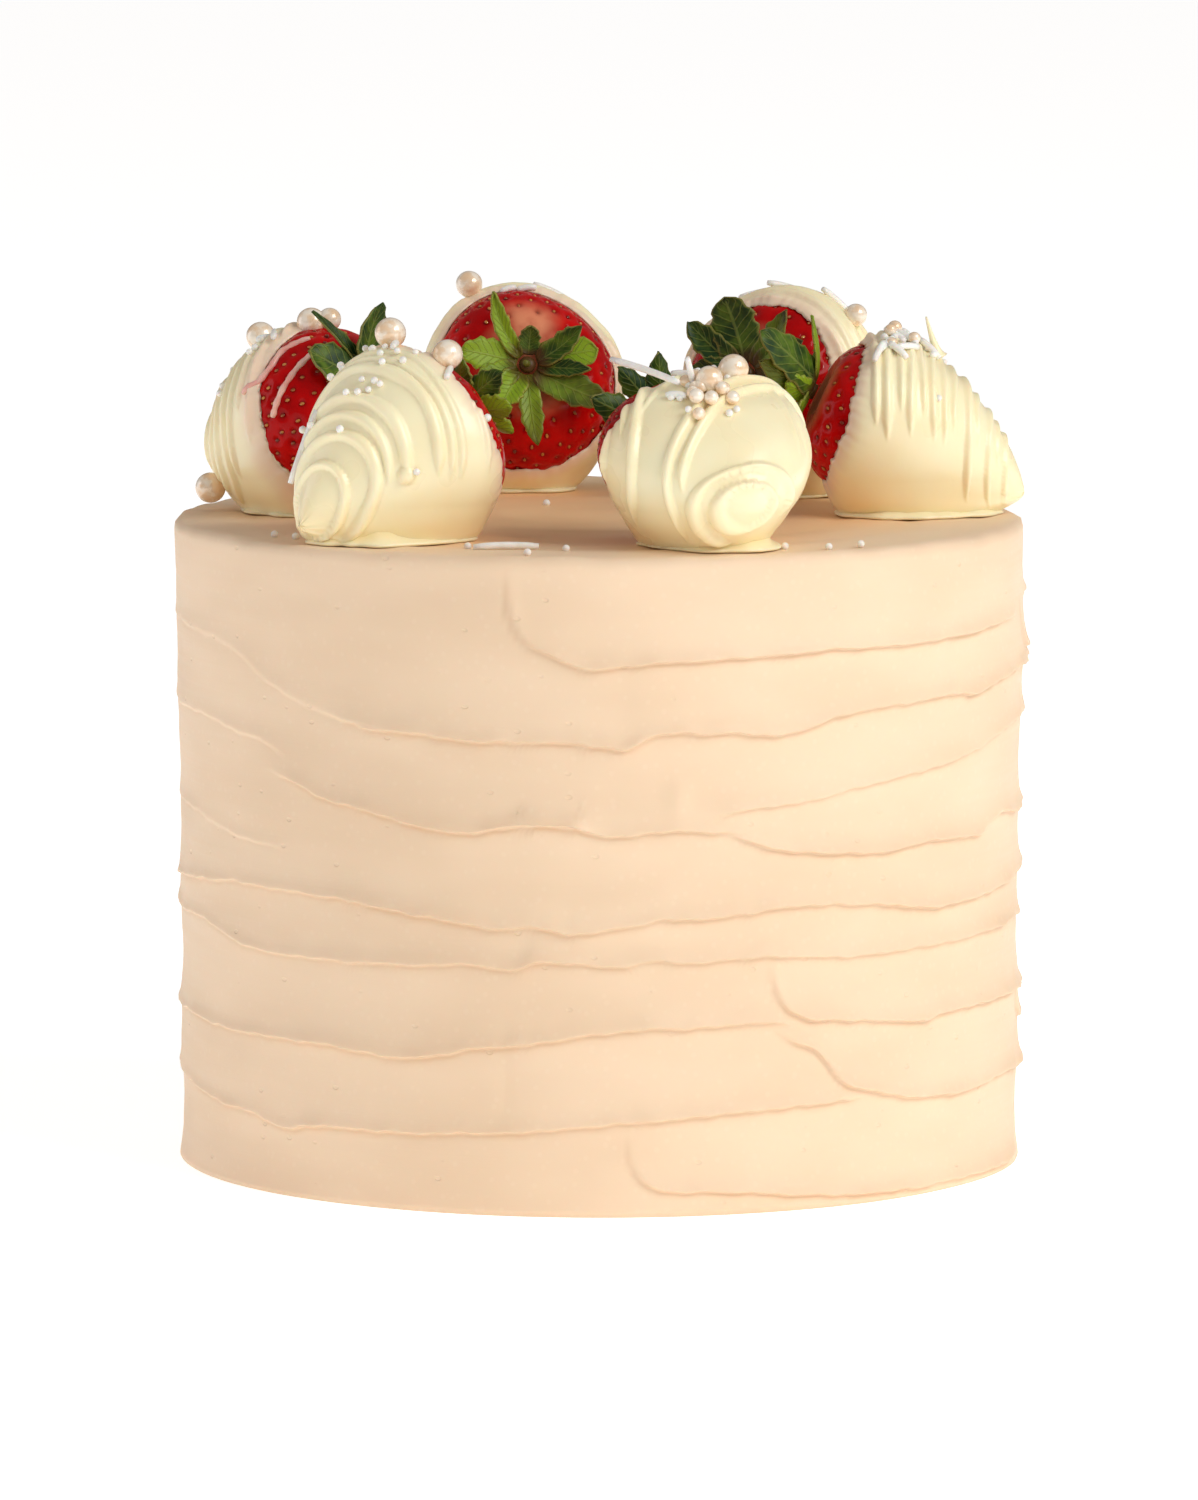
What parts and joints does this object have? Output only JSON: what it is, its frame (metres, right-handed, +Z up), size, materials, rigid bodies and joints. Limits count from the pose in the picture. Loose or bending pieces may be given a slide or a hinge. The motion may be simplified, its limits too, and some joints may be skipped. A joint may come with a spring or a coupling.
{
  "type": "strawberry cake",
  "caption": "Tall round layer cake frosted in knife-ridged peach buttercream, topped with a ring of strawberries dipped in white chocolate with drizzle and sugar pearls.",
  "frame": {"origin": "middle of the cake's flat underside, where it rests", "axes": "+Z up the cake's own axis; -Y towards the front, where the two nearest strawberries lie; +X to its right"},
  "size_m": [0.1608, 0.1612, 0.1625],
  "materials": {
    "frosting": "smooth peach buttercream with knife ridges",
    "strawberry": "glossy red strawberry skin with seeds",
    "white_chocolate": "soft gloss white chocolate",
    "leaf": "fresh green leaf"
  },
  "bodies": {
    "root": {"cake": "frosting", "strawberry_front_left": "strawberry", "strawberry_front_right": "strawberry", "strawberry_right": "strawberry", "strawberry_back_right": "strawberry", "strawberry_back_left": "strawberry", "strawberry_left": "strawberry", "chocolate_coat_front_left": "white_chocolate", "chocolate_coat_front_right": "white_chocolate", "chocolate_coat_right": "white_chocolate", "chocolate_coat_back_right": "white_chocolate", "chocolate_coat_back_left": "white_chocolate", "chocolate_coat_left": "white_chocolate", "calyx_front_left": "leaf", "calyx_front_right": "leaf", "calyx_right": "leaf", "calyx_back_right": "leaf", "calyx_back_left": "leaf", "calyx_left": "leaf"}
  },
  "joints": []
}
